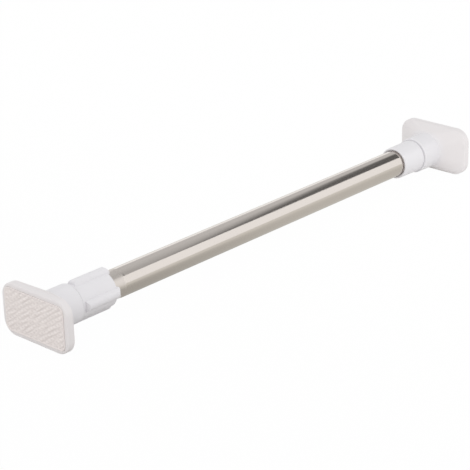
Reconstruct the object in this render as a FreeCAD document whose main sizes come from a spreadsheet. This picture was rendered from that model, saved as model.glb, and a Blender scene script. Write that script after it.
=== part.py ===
import FreeCAD, Part
import math
import os
import re

import Sketcher
from FreeCAD import Placement, Rotation, Vector

doc = FreeCAD.newDocument("tension_rod")

# Driving dimensions in millimetres, angles in degrees.
sizes = {
    # outer tube, its swaged left end, and the guide in its right end
    "tube_dia": 22.0,
    "tube_wall": 0.6,
    "tube_length": 356.0,
    "swage_depth": 1.2,
    "swage_reach": 31.0,
    "swage_taper": 10.0,
    "bush_wall": 0.78,
    "bush_length": 20.0,
    "bush_lip": 1.2,
    # inner tube, its wall, and the plug in its left end
    "inner_wall": 0.6,
    "plug_length": 15.0,
    "plug_flange": 2.0,
    # clearances
    "press_gap": 0.02,
    "running_gap": 0.1,
    "loose_gap": 0.3,
    # collar on the inner tube's right end
    "collar_wall": 1.25,
    "collar_flare": 0.3,
    "collar_floor": 5.0,
    "collar_edge": 0.6,
    "mouth_gap": 0.95,
    "mouth_overlap": 4.2,
    "socket_length": 15.0,
    # feet
    "foot_width": 67.5,
    "foot_height": 40.0,
    "foot_corner": 11.5,
    "plate_thick": 6.0,
    "plate_back_round": 1.4,
    "plate_front_round": 1.2,
    "back_rise": 9.8,
    "back_sink": 0.5,
    "back_flat": 0.6,
    "neck_dia": 29.6,
    "left_neck_length": 26.5,
    "right_neck_length": 29.5,
    "neck_root": 1.0,
    "neck_edge": 0.5,
    "neck_wall": 3.0,
    "web_thick": 5.0,
    "pocket_dia": 20.0,
    "pocket_depth": 4.0,
    "nose_dia": 10.0,
    "swivel_gap": 0.25,
    # grip pads
    "pad_inset": 3.25,
    "pad_corner": 4.5,
    "pad_thick": 2.3,
    "pad_recess": 1.5,
    "pad_gap": 0.15,
    # ribbed knob
    "knob_gap": 0.5,
    "knob_length": 33.0,
    "knob_wall": 1.5,
    "knob_edge": 0.6,
    "knob_bush_wall": 2.2,
    "knob_bush_inset": 0.8,
    "hub_length": 9.0,
    "thrust_thick": 1.0,
    "rib_height": 2.9,
    "rib_radius": 4.2,
    "rib_start": 2.4,
    "rib_overhang": 1.6,
    "rib_end_round": 3.0,
    "rib_count": 4,
    # spindle and its guide
    "spindle_dia": 14.0,
    "spindle_flat": 1.5,
    "spindle_length": 40.0,
    "spindle_tip": 1.2,
    "guide_flange": 3.0,
    "guide_length": 32.0,
    "guide_end": 3.0,
    # screws under the pads
    "screw_dia": 4.0,
    "screw_length": 16.0,
    "screw_head_dia": 8.4,
    "screw_head": 3.0,
    "screw_socket": 3.0,
    "screw_socket_depth": 1.8,
    "washer_dia": 16.0,
    "washer_thick": 1.2,
    # twist lock
    "stop_gap": 0.5,
    "core_disc": 3.0,
    "pin_dia": 10.0,
    "pin_offset": 1.2,
    "ring_length": 10.0,
    "ring_slit": 3.0,
    "lock_turn": 20.0,
    # plunger and spring
    "rod_dia": 6.0,
    "rod_flat": 0.8,
    "rod_seat": 9.0,
    "rod_end": 1.5,
    "nut_width": 10.0,
    "nut_thick": 5.0,
    "stop_washer_thick": 1.5,
    "spring_stroke": 15.0,
    "stroke_spare": 1.0,
    "spring_length": 60.0,
    "spring_wire": 1.4,
    "spring_turns": 12,
    "spring_room": 0.6,
    "seat_length": 8.0,
}

sheet = doc.addObject("Spreadsheet::Sheet", "Sizes")
for row, (alias, number) in enumerate(sizes.items(), 1):
    sheet.set(f"A{row}", str(number))
    sheet.setAlias(f"A{row}", alias)
doc.recompute()


def sized(text):
    """The same formula with each dimension's name pointing at its cell."""
    return re.sub(r"[a-z_]+", lambda word: f"Sizes.{word[0]}" if word[0] in sizes else word[0], text)


def value(text):
    """A formula's value for the sizes as they stand."""
    return float(sheet.evalExpression(sized(text)))


# Radii and fits, as formulas of the driving dimensions.
tube_r = "tube_dia / 2"
tube_bore = f"({tube_r} - tube_wall)"
swage_r = f"({tube_r} - swage_depth)"
swage_bore = f"({swage_r} - tube_wall)"
inner_r = f"({tube_bore} - press_gap - bush_wall - running_gap)"
inner_bore = f"({inner_r} - inner_wall)"
neck_r = "neck_dia / 2"
spindle_r = "spindle_dia / 2"
knob_bore = f"({swage_r} + running_gap + knob_bush_wall + press_gap)"
knob_r = f"({knob_bore} + knob_wall)"
mouth_r = f"({tube_r} + mouth_gap)"
cup_depth = "(mouth_overlap + spring_stroke + stroke_spare)"
collar_length = f"({cup_depth} + collar_floor)"
seat_r = f"({inner_bore} - press_gap)"
nose_r = "(nose_dia / 2)"
spigot_r = "(pocket_dia / 2 - running_gap)"
pin_r = "(pin_dia / 2)"
rod_r = "(rod_dia / 2)"

# Stations along the rod, counted from the left pad's face.
pad_proud = "(pad_thick - pad_recess)"
left_plate = pad_proud
left_neck_end = f"({left_plate} + plate_thick + left_neck_length)"
knob_start = f"({left_neck_end} + knob_gap)"
thrust_start = f"({knob_start} + hub_length)"
guide_start = f"({thrust_start} + thrust_thick + running_gap)"
tube_start = f"({guide_start} + guide_flange)"
guide_stop = f"({tube_start} + guide_length)"
tube_stop = f"({tube_start} + tube_length)"
mouth = f"({tube_stop} + bush_lip - mouth_overlap)"
seam = f"({mouth} + {collar_length})"
right_neck_end = f"({seam} + swivel_gap)"
right_plate = f"({right_neck_end} + right_neck_length + plate_thick)"
total = f"({right_plate} + {pad_proud})"
core_start = f"({guide_stop} + stop_gap)"
ring_start = f"({core_start} + core_disc + loose_gap)"
core_length = "(2 * core_disc + 2 * loose_gap + ring_length)"
core_stop = f"({core_start} + {core_length})"
plug_start = f"({core_stop} + spring_stroke + stroke_spare)"
inner_start = f"({plug_start} + plug_flange)"
inner_stop = f"({seam} - collar_floor)"
stop_start = f"({inner_start} + plug_length + running_gap)"
spring_start = f"({stop_start} + stop_washer_thick)"
spring_stop = f"({spring_start} + spring_length)"

tolerance = 1e-4
pieces = []
lying = Rotation(Vector(0, 1, 0), 90)
half_turn = Rotation(Vector(0, 0, 1), 180)


def cylinder(name, radius, length, start, lift="0"):
    """A cylinder along the rod, by formulas, to be joined or cut."""
    solid = doc.addObject("Part::Cylinder", name)
    solid.Placement = Placement(Vector(), lying)
    solid.setExpression("Radius", sized(radius))
    solid.setExpression("Height", sized(length))
    solid.setExpression("Placement.Base.x", sized(start))
    solid.setExpression("Placement.Base.z", sized(lift))
    return solid


def cut_away(name, base, tool):
    """One solid with another taken out of it."""
    cut = doc.addObject("Part::Cut", name)
    cut.Base = base
    cut.Tool = tool
    return cut


def seat(piece, station, turn=Rotation()):
    """Put a finished piece on the rod's axis, with its own start at the given station."""
    piece.Placement = Placement(Vector(), turn)
    piece.setExpression("Placement.Base.x", sized(f"{station} - {total} / 2"))
    piece.setExpression("Placement.Base.z", sized("foot_height / 2"))
    pieces.append(piece)


def plane(body, role):
    """One of a body's own origin planes."""
    return next(f for f in body.Origin.OriginFeatures if f.Role == role)


def draw(body, name, role):
    """An empty sketch on one of the body's origin planes."""
    sketch = body.newObject("Sketcher::SketchObject", name)
    sketch.AttachmentSupport = [(plane(body, role), "")]
    sketch.MapMode = "FlatFace"
    return sketch


def pin_down(sketch, geometry, point, across, up):
    """Hold one point of a sketch at the given formulas from the sketch's origin."""
    for axis, kind, formula in ((-2, "DistanceX", across), (-1, "DistanceY", up)):
        if formula == "0":
            sketch.addConstraint(Sketcher.Constraint("PointOnObject", geometry, point, axis))
            continue
        number = value(formula)
        index = sketch.addConstraint(Sketcher.Constraint(kind, -1, 1, geometry, point, number))
        sketch.setExpression(f"Constraints[{index}]", sized(formula))


def outline(sketch, points):
    """A closed outline of straight lines through points given as formulas."""
    corners = [Vector(value(across), value(up), 0) for across, up in points]
    first = sketch.GeometryCount
    for number, corner in enumerate(corners):
        following = corners[(number + 1) % len(corners)]
        sketch.addGeometry(Part.LineSegment(corner, following))
    for number, (across, up) in enumerate(points):
        line = first + number
        before = first + (number - 1) % len(points)
        sketch.addConstraint(Sketcher.Constraint("Coincident", before, 2, line, 1))
        pin_down(sketch, line, 1, across, up)


def ring(sketch, up, radius):
    """A circle on the sketch's upright axis, by formulas."""
    circle = sketch.addGeometry(Part.Circle(Vector(0, value(up), 0), Vector(0, 0, 1), value(radius)))
    pin_down(sketch, circle, 3, "0", up)
    index = sketch.addConstraint(Sketcher.Constraint("Radius", circle, value(radius)))
    sketch.setExpression(f"Constraints[{index}]", sized(radius))


def block(sketch, width, height):
    """A rectangle about the sketch's origin, by formulas."""
    half_width = f"({width}) / 2"
    half_height = f"({height}) / 2"
    corners = [(-1, -1), (1, -1), (1, 1), (-1, 1)]
    points = [Vector(across * value(half_width), up * value(half_height), 0) for across, up in corners]
    for number in range(4):
        sketch.addGeometry(Part.LineSegment(points[number], points[(number + 1) % 4]))
    for number in range(4):
        sketch.addConstraint(Sketcher.Constraint("Coincident", number, 2, (number + 1) % 4, 1))
    for number, kind in enumerate(("Horizontal", "Vertical", "Horizontal", "Vertical")):
        sketch.addConstraint(Sketcher.Constraint(kind, number))
    sketch.addConstraint(Sketcher.Constraint("Symmetric", 0, 1, 1, 2, -1, 1))
    across = sketch.addConstraint(Sketcher.Constraint("DistanceX", 0, 1, 0, 2, value(width)))
    sketch.setExpression(f"Constraints[{across}]", sized(width))
    up = sketch.addConstraint(Sketcher.Constraint("DistanceY", 1, 1, 1, 2, value(height)))
    sketch.setExpression(f"Constraints[{up}]", sized(height))


def revolve(body, name, points, cut=False):
    """A turned solid, or a turned cut, about the body's X axis."""
    sketch = draw(body, f"{name}_profile", "XZ_Plane")
    outline(sketch, points)
    feature = body.newObject("PartDesign::Groove" if cut else "PartDesign::Revolution", name)
    feature.Profile = sketch
    feature.ReferenceAxis = (sketch, ["H_Axis"])
    feature.Angle = 360
    doc.recompute()
    return feature


def turned(label, points, station):
    """A piece turned about the rod's axis; points are (distance along, radius)."""
    body = doc.addObject("PartDesign::Body", label)
    revolve(body, f"{label}_turned", points)
    seat(body, station)
    return body


def tube(label, inside, outside, length, station):
    """A plain sleeve or washer."""
    points = [("0", inside), (length, inside), (length, outside), ("0", outside)]
    return turned(label, points, station)


def extrude(body, sketch, name, length, cut=False, back=False):
    """Extrude a sketch into the body, or cut it out, by a length formula."""
    feature = body.newObject("PartDesign::Pocket" if cut else "PartDesign::Pad", name)
    feature.Profile = sketch
    feature.setExpression("Length", sized(length))
    feature.Reversed = back
    doc.recompute()
    return feature


def round_edges(body, name, test, radius):
    """Round the edges of the body's last feature that the test picks."""
    base = body.Tip
    edges = [f"Edge{n}" for n, edge in enumerate(base.Shape.Edges, 1) if test(edge)]
    fillet = body.newObject("PartDesign::Fillet", name)
    fillet.Base = (base, edges)
    fillet.setExpression("Radius", sized(radius))
    doc.recompute()


def on_face(edge, station):
    """Whether an edge lies wholly in the plane at a distance along the piece."""
    box = edge.BoundBox
    return abs(box.XMin - station) < tolerance and abs(box.XMax - station) < tolerance


def round_at(edge, station, radius):
    """Whether an edge is the circle of this radius at a distance along the piece."""
    circle = isinstance(edge.Curve, Part.Circle)
    return circle and on_face(edge, station) and abs(edge.Curve.Radius - radius) < tolerance


def flatten(body, name, flat_height, start, stop):
    """Cut a flat along a turned piece, at a height above its axis."""
    sketch = draw(body, f"{name}_profile", "XZ_Plane")
    clear = "tube_dia"
    outline(sketch, [(start, flat_height), (stop, flat_height), (stop, clear), (start, clear)])
    cut = body.newObject("PartDesign::Pocket", name)
    cut.Profile = sketch
    cut.Midplane = True
    cut.setExpression("Length", sized(f"2 * {clear}"))
    doc.recompute()


def key_bore(body, name, bore, flat_height, length):
    """Fill a bore above a flat, so that it carries a shaft with the same flat."""
    sketch = draw(body, f"{name}_profile", "XZ_Plane")
    top = f"{bore} + running_gap"
    outline(sketch, [("0", flat_height), (length, flat_height), (length, top), ("0", top)])
    key = body.newObject("PartDesign::Pad", name)
    key.Profile = sketch
    key.Midplane = True
    key.setExpression("Length", sized(f"2 * sqrt({bore} ^ 2 - ({flat_height}) ^ 2)"))
    doc.recompute()


def require_cut(feature, before, name):
    """Refuse a cut that took nothing away."""
    if feature.Shape.Volume >= before - tolerance:
        raise RuntimeError(f"{name} cuts nothing")


# A foot: plate with a tapered back, neck, recess for the pad, and the bores along its neck.
def foot(label, neck_length, station, turn):
    body = doc.addObject("PartDesign::Body", label)
    end = f"(plate_thick + {neck_length})"
    web_stop = f"({end} - pocket_depth)"
    web_start = f"({web_stop} - web_thick)"

    plate = draw(body, f"{label}_plate_outline", "YZ_Plane")
    block(plate, "foot_width", "foot_height")
    extrude(body, plate, f"{label}_plate", "plate_thick")

    def along_corner(edge):
        return edge.BoundBox.XLength > value("plate_thick") - tolerance

    round_edges(body, f"{label}_corners", along_corner, "foot_corner")
    round_edges(body, f"{label}_front", lambda edge: on_face(edge, 0), "plate_front_round")

    # the back tapers from the plate's outline to just inside the neck
    wide = draw(body, f"{label}_taper_foot", "YZ_Plane")
    wide.setExpression("AttachmentOffset.Base.z", sized("plate_thick"))
    rounded_block(wide, "foot_width", "foot_height", "foot_corner")
    narrow = draw(body, f"{label}_taper_tip", "YZ_Plane")
    narrow.setExpression("AttachmentOffset.Base.z", sized("plate_thick + back_rise"))
    tip_width = f"2 * ({neck_r} - back_sink)"
    rounded_block(narrow, tip_width, tip_width, f"({tip_width} - back_flat) / 2")
    taper = body.newObject("PartDesign::AdditiveLoft", f"{label}_taper")
    taper.Profile = wide
    taper.Sections = [narrow]
    taper.Ruled = True
    doc.recompute()
    back = value("plate_thick")
    round_edges(body, f"{label}_back", lambda edge: on_face(edge, back), "plate_back_round")

    neck = draw(body, f"{label}_neck_outline", "YZ_Plane")
    ring(neck, "0", neck_r)
    extrude(body, neck, f"{label}_neck", end)
    radius = value(neck_r)

    def around_root(edge):
        far = [math.hypot(point.y, point.z) for point in edge.discretize(5)]
        inside = edge.BoundBox.XMin > back and edge.BoundBox.XMax < back + value("back_rise")
        return inside and all(abs(reach - radius) < 10 * tolerance for reach in far)

    round_edges(body, f"{label}_root", around_root, "neck_root")
    tip = value(end)
    round_edges(body, f"{label}_rim", lambda edge: round_at(edge, tip, radius), "neck_edge")

    solid = body.Tip.Shape.Volume
    bores = [
        ("0", "0"),
        ("0", f"{neck_r} - neck_wall"),
        (web_start, f"{neck_r} - neck_wall"),
        (web_start, f"{nose_r} + running_gap"),
        (web_stop, f"{nose_r} + running_gap"),
        (web_stop, "pocket_dia / 2"),
        (end, "pocket_dia / 2"),
        (end, "0"),
    ]
    require_cut(revolve(body, f"{label}_bores", bores, cut=True), solid, label)

    solid = body.Tip.Shape.Volume
    recess = draw(body, f"{label}_recess_outline", "YZ_Plane")
    inset = "2 * pad_inset"
    rounded_block(recess, f"foot_width - {inset}", f"foot_height - {inset}", "pad_corner + pad_gap")
    require_cut(extrude(body, recess, f"{label}_recess", "pad_recess", cut=True, back=True), solid, label)
    seat(body, station, turn)


def rounded_block(sketch, width, height, corner):
    """A rectangle with round corners about the sketch's origin, by formulas."""
    half_width = value(f"({width}) / 2")
    half_height = value(f"({height}) / 2")
    radius = value(corner)
    inner = half_width - radius
    lower = half_height - radius
    quarters = [(inner, lower, 0), (-inner, lower, 90), (-inner, -lower, 180), (inner, -lower, 270)]
    for across, up, start in quarters:
        circle = Part.Circle(Vector(across, up, 0), Vector(0, 0, 1), radius)
        sketch.addGeometry(Part.ArcOfCircle(circle, math.radians(start), math.radians(start + 90)))
    for number in range(4):
        stop = sketch.Geometry[number].EndPoint
        begin = sketch.Geometry[(number + 1) % 4].StartPoint
        line = sketch.addGeometry(Part.LineSegment(stop, begin))
        sketch.addConstraint(Sketcher.Constraint("Tangent", number, 2, line, 1))
        sketch.addConstraint(Sketcher.Constraint("Tangent", line, 2, (number + 1) % 4, 1))
    for number in range(3):
        sketch.addConstraint(Sketcher.Constraint("Equal", number, number + 1))
    sketch.addConstraint(Sketcher.Constraint("Horizontal", 4))
    sketch.addConstraint(Sketcher.Constraint("Vertical", 5))
    sketch.addConstraint(Sketcher.Constraint("Symmetric", 0, 3, 2, 3, -1, 1))
    bends = sketch.addConstraint(Sketcher.Constraint("Radius", 0, radius))
    sketch.setExpression(f"Constraints[{bends}]", sized(corner))
    pin_down(sketch, 0, 3, f"({width}) / 2 - ({corner})", f"({height}) / 2 - ({corner})")


foot("left_foot", "left_neck_length", left_plate, Rotation())
foot("right_foot", "right_neck_length", right_plate, half_turn)


# A grip pad fills its recess and stands a little proud of the plate.
def grip_pad(label, station, turn):
    body = doc.addObject("PartDesign::Body", label)
    face = draw(body, f"{label}_outline", "YZ_Plane")
    inset = "(pad_inset + pad_gap)"
    width = f"foot_width - 2 * {inset}"
    height = f"foot_height - 2 * {inset}"
    rounded_block(face, width, height, "pad_corner")
    extrude(body, face, f"{label}_sheet", "pad_thick")
    seat(body, station, turn)


grip_pad("left_grip_pad", "0", Rotation())
grip_pad("right_grip_pad", total, half_turn)

# Outer tube, tapered in at the knob's mouth, and the lipped guide in its right end.
tube_points = [
    ("0", swage_bore),
    ("swage_reach - swage_taper", swage_bore),
    ("swage_reach", tube_bore),
    ("tube_length", tube_bore),
    ("tube_length", tube_r),
    ("swage_reach", tube_r),
    ("swage_reach - swage_taper", swage_r),
    ("0", swage_r),
]
turned("outer_tube", tube_points, tube_start)
bush_bore = f"({inner_r} + running_gap)"
bush_points = [
    ("0", bush_bore),
    ("bush_length + bush_lip", bush_bore),
    ("bush_length + bush_lip", tube_r),
    ("bush_length", tube_r),
    ("bush_length", f"{tube_bore} - press_gap"),
    ("0", f"{tube_bore} - press_gap"),
]
turned("mouth_bush", bush_points, f"{tube_stop} - bush_length")

# Guide in the tube's left end: a flanged plug, closed on the right, with a flat in its bore.
guide_bore = f"({spindle_r} + running_gap)"
guide_whole = "(guide_flange + guide_length)"
guide_points = [
    ("0", guide_bore),
    ("0", f"{knob_bore} - loose_gap"),
    ("guide_flange", f"{knob_bore} - loose_gap"),
    ("guide_flange", f"{swage_bore} - press_gap"),
    (guide_whole, f"{swage_bore} - press_gap"),
    (guide_whole, "0"),
    (f"{guide_whole} - guide_end", "0"),
    (f"{guide_whole} - guide_end", guide_bore),
]
guide = turned("spindle_guide", guide_points, guide_start)
spindle_flat = f"{spindle_r} - spindle_flat"
key_bore(guide, "guide_key", guide_bore, f"{spindle_flat} + running_gap", f"{guide_whole} - guide_end")

# Spindle: a flanged head in the left foot's pocket and a long shank with a flat.
head = "(pocket_depth - press_gap)"
nose = "(web_thick - loose_gap)"
shank_start = f"({nose} + {head})"
spindle_whole = f"({shank_start} + spindle_length)"
hole_depth = "(screw_length + loose_gap)"
spindle_points = [
    ("0", "screw_dia / 2 + press_gap"),
    ("0", nose_r),
    (nose, nose_r),
    (nose, spigot_r),
    (shank_start, spigot_r),
    (shank_start, spindle_r),
    (f"{spindle_whole} - spindle_tip", spindle_r),
    (spindle_whole, f"{spindle_r} - spindle_tip"),
    (spindle_whole, "0"),
    (hole_depth, "0"),
    (hole_depth, "screw_dia / 2 + press_gap"),
]
spindle_seat = f"({left_neck_end} - {shank_start})"
spindle = turned("adjusting_spindle", spindle_points, spindle_seat)
flatten(spindle, "spindle_flat_cut", spindle_flat, shank_start, spindle_whole)


# A socket screw; its length is counted under the head, which faces away from the rod's middle.
def socket_screw(label, station, turn):
    whole = "(screw_head + screw_length)"
    points = [
        ("0", "0"),
        ("0", "screw_head_dia / 2"),
        ("screw_head", "screw_head_dia / 2"),
        ("screw_head", "screw_dia / 2"),
        (whole, "screw_dia / 2"),
        (whole, "0"),
    ]
    body = doc.addObject("PartDesign::Body", label)
    revolve(body, f"{label}_turned", points)
    socket = draw(body, f"{label}_socket_outline", "YZ_Plane")
    hexagon(socket, "screw_socket / sqrt(3)")
    solid = body.Tip.Shape.Volume
    hole = extrude(body, socket, f"{label}_socket", "screw_socket_depth", cut=True, back=True)
    require_cut(hole, solid, label)
    seat(body, station, turn)


def hexagon(sketch, radius):
    """A regular hexagon about the sketch's origin, by a formula for its corners' radius."""
    reach = value(radius)
    corners = [Vector(reach * math.cos(turn), reach * math.sin(turn), 0) for turn in
               (math.radians(60 * number) for number in range(6))]
    for number in range(6):
        sketch.addGeometry(Part.LineSegment(corners[number], corners[(number + 1) % 6]))
    rim = sketch.addGeometry(Part.Circle(Vector(), Vector(0, 0, 1), reach), True)
    sketch.addConstraint(Sketcher.Constraint("Coincident", rim, 3, -1, 1))
    for number in range(6):
        sketch.addConstraint(Sketcher.Constraint("Coincident", number, 2, (number + 1) % 6, 1))
        sketch.addConstraint(Sketcher.Constraint("PointOnObject", number, 1, rim))
    for number in range(1, 5):
        sketch.addConstraint(Sketcher.Constraint("Equal", 0, number))
    sketch.addConstraint(Sketcher.Constraint("Horizontal", 1))
    size = sketch.addConstraint(Sketcher.Constraint("Radius", rim, reach))
    sketch.setExpression(f"Constraints[{size}]", sized(radius))


washer_bore = "(screw_dia / 2 + running_gap)"
web_face = f"({left_neck_end} - pocket_depth - web_thick)"
tube("spindle_washer", washer_bore, "washer_dia / 2", "washer_thick", f"{web_face} - washer_thick")
socket_screw("spindle_screw", f"{web_face} - washer_thick - screw_head", Rotation())

# Ribbed knob: a hub that carries the spindle's thread, a sleeve over the tube's end, and ribs.
knob = doc.addObject("PartDesign::Body", "adjusting_knob")
knob_points = [
    ("0", "0"),
    ("0", f"{knob_r} - knob_edge"),
    ("knob_edge", knob_r),
    ("knob_length - knob_edge", knob_r),
    ("knob_length", f"{knob_r} - knob_edge"),
    ("knob_length", "0"),
]
revolve(knob, "knob_sleeve", knob_points)
rib_top = f"({knob_r} + rib_height)"
rib_stop = "(knob_length + rib_overhang)"
rib_outline = draw(knob, "knob_rib_outline", "YZ_Plane")
rib_outline.setExpression("AttachmentOffset.Base.z", sized("rib_start"))
ring(rib_outline, f"{rib_top} - rib_radius", "rib_radius")
rib = extrude(knob, rib_outline, "knob_rib", f"{rib_stop} - rib_start")
ribs = knob.newObject("PartDesign::PolarPattern", "knob_ribs")
ribs.Originals = [rib]
ribs.Axis = (plane(knob, "X_Axis"), [""])
ribs.Angle = 360
ribs.setExpression("Occurrences", sized("rib_count"))
knob.Tip = ribs
doc.recompute()

knob_bores = [
    ("0", "0"),
    ("0", guide_bore),
    ("hub_length", guide_bore),
    ("hub_length", knob_bore),
    (rib_stop, knob_bore),
    (rib_stop, "0"),
]
solid = knob.Tip.Shape.Volume
require_cut(revolve(knob, "knob_bores", knob_bores, cut=True), solid, "knob bores")


# Each rib's end is rounded by a ring cut away around it, whose inner side is a quarter arc.
def round_rib_ends(name, face, radius, inward):
    sketch = draw(knob, f"{name}_profile", "XZ_Plane")
    top = f"({rib_top} + rib_height)"
    low = f"({rib_top} - {radius})"
    begin = f"({face} + {inward} * {radius})"
    outer = f"({face} - {inward} * rib_height)"
    points = [(begin, rib_top), (begin, top), (outer, top), (outer, low), (face, low)]
    corners = [Vector(value(across), value(up), 0) for across, up in points]
    for number in range(4):
        sketch.addGeometry(Part.LineSegment(corners[number], corners[number + 1]))
        pin_down(sketch, number, 1, *points[number])
    for number in range(3):
        sketch.addConstraint(Sketcher.Constraint("Coincident", number, 2, number + 1, 1))
    pin_down(sketch, 3, 2, *points[4])
    circle = Part.Circle(Vector(value(begin), value(low), 0), Vector(0, 0, 1), value(radius))
    first = 90 if inward > 0 else 0
    arc = sketch.addGeometry(Part.ArcOfCircle(circle, math.radians(first), math.radians(first + 90)))
    high_end, low_end = (1, 2) if inward > 0 else (2, 1)
    sketch.addConstraint(Sketcher.Constraint("Coincident", arc, high_end, 0, 1))
    sketch.addConstraint(Sketcher.Constraint("Coincident", arc, low_end, 3, 2))
    size = sketch.addConstraint(Sketcher.Constraint("Radius", arc, value(radius)))
    sketch.setExpression(f"Constraints[{size}]", sized(radius))
    before = knob.Tip.Shape.Volume
    groove = knob.newObject("PartDesign::Groove", name)
    groove.Profile = sketch
    groove.ReferenceAxis = (sketch, ["H_Axis"])
    groove.Angle = 360
    doc.recompute()
    require_cut(groove, before, name)


round_rib_ends("knob_rib_tips", rib_stop, "rib_end_round", -1)
round_rib_ends("knob_rib_starts", "rib_start", "(rib_height - press_gap)", 1)
seat(knob, knob_start)

# Sleeve in the knob's mouth that runs on the tube and traps the guide's flange, and the thrust washer.
knob_bush_start = f"({tube_start} + loose_gap)"
knob_bush_length = f"({knob_start} + knob_length - knob_bush_inset - {knob_bush_start})"
tube("knob_bush", f"{swage_r} + running_gap", f"{knob_bore} - press_gap", knob_bush_length, knob_bush_start)
tube("thrust_washer", guide_bore, f"{knob_bore} - loose_gap", "thrust_thick", thrust_start)

# Collar: a cup over the tube's end, a socket for the inner tube, and the pivot for the right foot.
collar_out = f"({mouth_r} + collar_wall)"
spigot_end = f"({collar_length} + swivel_gap + pocket_depth - running_gap)"
pivot_end = f"({collar_length} + swivel_gap + pocket_depth + web_thick + running_gap)"
collar_hole = f"({pivot_end} - screw_length - loose_gap + washer_thick)"
collar_points = [
    ("0", mouth_r),
    ("0", f"{collar_out} - collar_edge"),
    ("collar_edge", collar_out),
    (f"{collar_length} - collar_edge", f"{collar_out} + collar_flare"),
    (collar_length, f"{collar_out} + collar_flare - collar_edge"),
    (collar_length, spigot_r),
    (spigot_end, spigot_r),
    (spigot_end, nose_r),
    (pivot_end, nose_r),
    (pivot_end, "screw_dia / 2 + press_gap"),
    (collar_hole, "screw_dia / 2 + press_gap"),
    (collar_hole, "0"),
    (f"{cup_depth} - socket_length", "0"),
    (f"{cup_depth} - socket_length", seat_r),
    (cup_depth, seat_r),
    (cup_depth, mouth_r),
]
turned("tube_collar", collar_points, mouth)
pivot_face = f"({mouth} + {pivot_end})"
tube("swivel_washer", washer_bore, "washer_dia / 2", "washer_thick", pivot_face)
socket_screw("swivel_screw", f"{pivot_face} + washer_thick + screw_head", half_turn)

# Inner tube, from the plug's flange to the collar's floor.
tube("inner_tube", inner_bore, inner_r, f"{inner_stop} - {inner_start}", inner_start)

# Plunger rod: screwed into the lock's core, with a flat where it slides through the plug.
rod_start = f"({core_stop} - rod_seat)"
rod_flat_stop = f"({stop_start} - {rod_start})"
rod_length = f"({rod_flat_stop} + stop_washer_thick + nut_thick + rod_end)"
rod_points = [("0", "0"), ("0", rod_r), (rod_length, rod_r), (rod_length, "0")]
rod = turned("plunger_rod", rod_points, rod_start)
flatten(rod, "rod_flat_cut", f"{rod_r} - rod_flat", "rod_seat", rod_flat_stop)

# Plug in the inner tube's left end, keyed to the rod's flat.
rod_bore = f"({rod_r} + running_gap)"
plug_whole = "(plug_flange + plug_length)"
plug_points = [
    ("0", rod_bore),
    ("0", f"{tube_bore} - loose_gap"),
    ("plug_flange", f"{tube_bore} - loose_gap"),
    ("plug_flange", seat_r),
    (plug_whole, seat_r),
    (plug_whole, rod_bore),
]
plug = turned("inner_end_plug", plug_points, plug_start)
key_bore(plug, "plug_key", rod_bore, f"{rod_r} - rod_flat + running_gap", plug_whole)

# Washer and nut that stop the rod from being pulled through the plug.
tube("stop_washer", rod_bore, f"{inner_bore} - loose_gap", "stop_washer_thick", stop_start)
nut_blank = doc.addObject("Part::Prism", "nut_blank")
nut_blank.Polygon = 6
nut_blank.Placement = Placement(Vector(), lying)
nut_blank.setExpression("Circumradius", sized("nut_width / sqrt(3)"))
nut_blank.setExpression("Height", sized("nut_thick"))
nut_hole = cylinder("nut_hole", f"{rod_r} + press_gap", "nut_thick", "0")
nut = cut_away("stop_nut", nut_blank, nut_hole)
seat(nut, f"{stop_start} + stop_washer_thick")

# Twist lock: two discs joined by an eccentric pin, and a split ring round the pin.
disc_r = f"({tube_bore} - loose_gap)"
far_disc = "(core_disc + 2 * loose_gap + ring_length)"
core_discs = [
    cylinder("core_left_disc", disc_r, "core_disc", "0"),
    cylinder("core_pin", pin_r, core_length, "0", "pin_offset"),
    cylinder("core_right_disc", disc_r, "core_disc", far_disc),
]
core_blank = doc.addObject("Part::MultiFuse", "core_blank")
core_blank.Shapes = core_discs
core_hole = cylinder("core_hole", f"{rod_r} + press_gap", "rod_seat", f"{core_length} - rod_seat")
core = cut_away("lock_core", core_blank, core_hole)
seat(core, core_start)

slack = "(2 * pin_offset * sin(lock_turn / 2) + running_gap)"
ring_blank = cylinder("ring_blank", f"{tube_bore} - running_gap", "ring_length", "0")
ring_hole = cylinder("ring_hole", f"{pin_r} + {slack}", "ring_length", "0", "pin_offset")
ring_round = cut_away("ring_round", ring_blank, ring_hole)
slit = doc.addObject("Part::Box", "ring_slit_block")
slit.setExpression("Length", sized("ring_length"))
slit.setExpression("Width", sized("ring_slit"))
slit.setExpression("Height", sized(tube_r))
slit.setExpression("Placement.Base.y", sized("-ring_slit / 2"))
lock_ring = cut_away("lock_ring", ring_round, slit)
seat(lock_ring, ring_start)

# Coil spring between the stop washer and a seat fixed in the inner tube.
coil_r = f"({inner_bore} - spring_room - spring_wire / 2)"
coil_pitch = "((spring_length - spring_wire) / spring_turns)"
coil = doc.addObject("Part::Helix", "spring_coil")
coil.setExpression("Radius", sized(coil_r))
coil.setExpression("Pitch", sized(coil_pitch))
coil.setExpression("Height", sized("spring_length - spring_wire"))
wire = doc.addObject("Part::Circle", "spring_wire_section")
wire.Placement = Placement(Vector(), Rotation(Vector(1, 0, 0), 90))
wire.setExpression("Radius", sized("spring_wire / 2"))
wire.setExpression("Placement.Base.x", sized(coil_r))
spring = doc.addObject("Part::Sweep", "tension_spring")
spring.Sections = [wire]
spring.Spine = (coil, ["Edge1"])
spring.Solid = True
spring.Frenet = True
seat(spring, f"{spring_start} + spring_wire / 2", lying)

boss_r = f"({coil_r} - spring_wire / 2 - loose_gap)"
boss_length = "(2 * spring_wire)"
seat_whole = f"({boss_length} + seat_length)"
seat_points = [
    ("0", "0"),
    ("0", boss_r),
    (boss_length, boss_r),
    (boss_length, seat_r),
    (seat_whole, seat_r),
    (seat_whole, "0"),
]
turned("spring_seat", seat_points, f"{spring_stop} - {boss_length}")

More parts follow.
